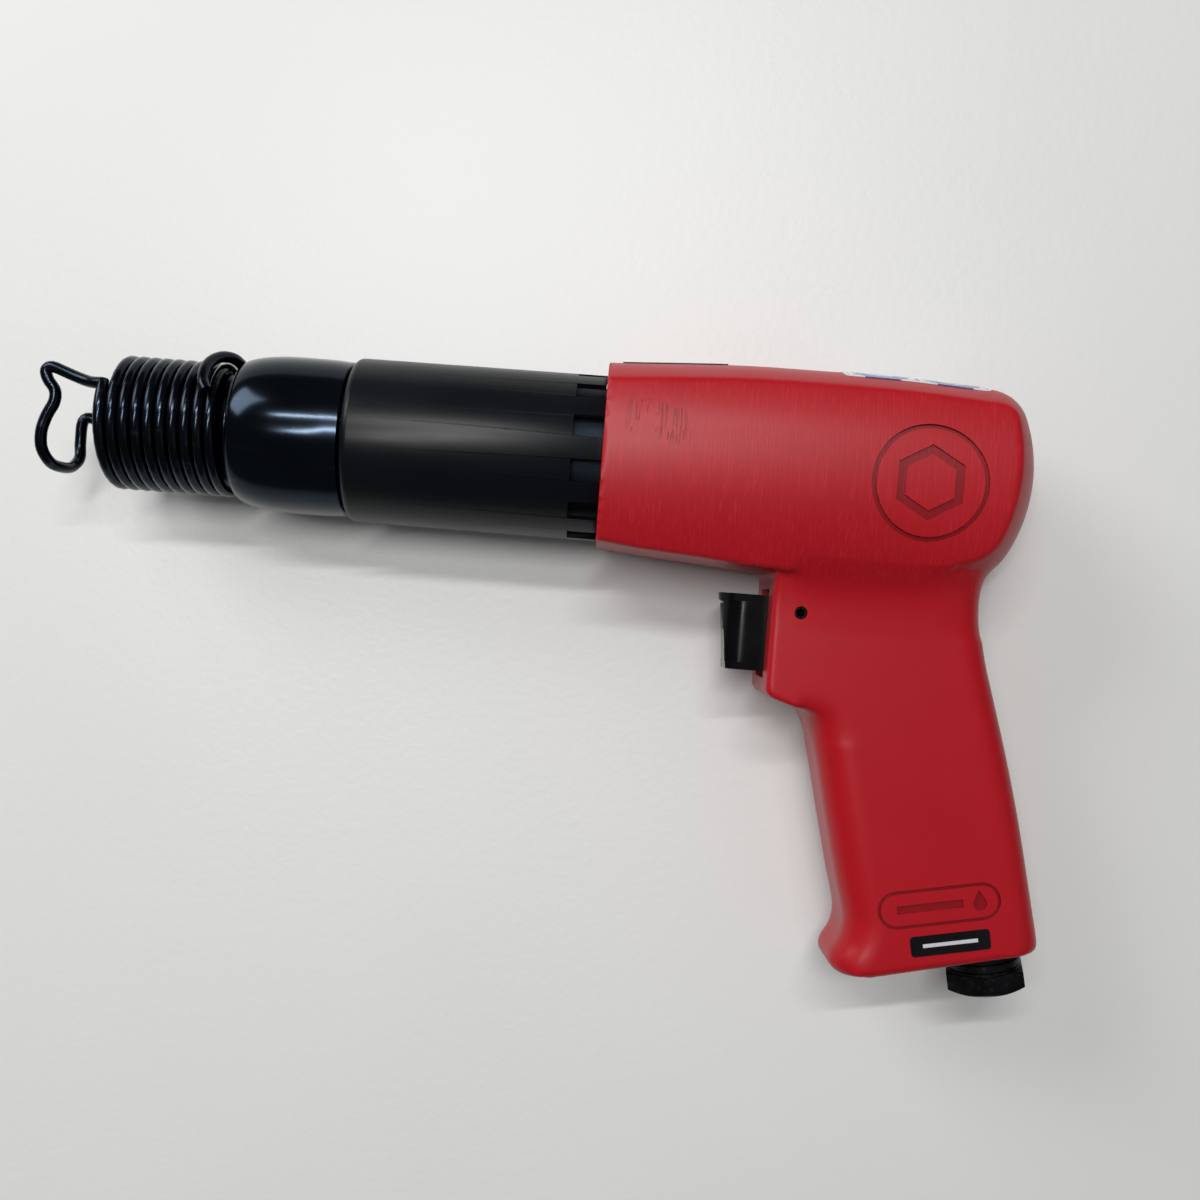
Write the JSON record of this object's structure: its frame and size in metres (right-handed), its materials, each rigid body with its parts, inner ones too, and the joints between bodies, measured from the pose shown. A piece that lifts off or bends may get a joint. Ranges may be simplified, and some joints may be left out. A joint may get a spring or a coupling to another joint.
{
  "type": "pneumatic air hammer",
  "caption": "Pistol-grip air hammer with barrel, notched exhaust sleeve, coil retainer spring, push trigger and hexagon air inlet, lying on its side.",
  "frame": {"origin": "centre of the mouth of the chisel bore, on the barrel axis", "axes": "+X along the barrel away from the nose, +Y the tool's top, +Z its left side; the tool lies on its right side"},
  "size_m": [0.2854, 0.171, 0.0522],
  "materials": {
    "red_paint": "satin",
    "blued_steel": "gloss",
    "blued_spring_steel": "gloss",
    "satin_black": "satin",
    "black_plastic": "satin",
    "black_oxide": "satin",
    "ground_steel": "ground",
    "valve_bronze": "turned",
    "black_rubber": "matte",
    "grey_plate": "brushed",
    "white_label": "gloss",
    "black_label": "gloss"
  },
  "bodies": {
    "tool": {"housing": "red_paint", "barrel": "blued_steel", "exhaust_sleeve": "satin_black", "sleeve_rings": "black_rubber", "retainer_spring": "blued_spring_steel", "valve_case_front": "ground_steel", "valve_case_rear": "ground_steel", "valve_dowels": "ground_steel", "valve_spring_washer": "ground_steel", "trigger_pin": "black_oxide", "throttle_bushing": "valve_bronze", "throttle_bushing_rings": "black_rubber", "stem_ring": "black_rubber", "throttle_spring": "ground_steel", "inlet_bushing": "black_oxide", "inlet_gasket": "black_rubber", "inlet_screen": "ground_steel", "top_plate": "grey_plate", "top_label": "white_label", "grip_label": "black_label"},
    "piston": {"piston": "ground_steel"},
    "valve_disc": {"valve_disc": "valve_bronze"},
    "trigger": {"trigger": "black_plastic"},
    "throttle_valve": {"throttle_stem": "valve_bronze", "throttle_valve_seal": "black_rubber"}
  },
  "joints": [
    {"name": "trigger_slide", "type": "slide", "parent": "tool", "child": "trigger", "axis": [1, 0, 0], "range_m": [0, 0.006], "stiffness_N_per_m": 600, "springref_m": -0.004},
    {"name": "throttle_slide", "type": "slide", "parent": "tool", "child": "throttle_valve", "axis": [1, 0, 0], "range_m": [0, 0.006], "deforming": ["throttle_spring"]},
    {"name": "piston_slide", "type": "slide", "parent": "tool", "child": "piston", "axis": [1, 0, 0], "range_m": [0, 0.0745]},
    {"name": "valve_slide", "type": "slide", "parent": "tool", "child": "valve_disc", "axis": [1, 0, 0], "range_m": [0, 0.0013]}
  ],
  "couplings": [
    {"joint": "throttle_slide", "follows": "trigger_slide", "ratio": 1}
  ]
}
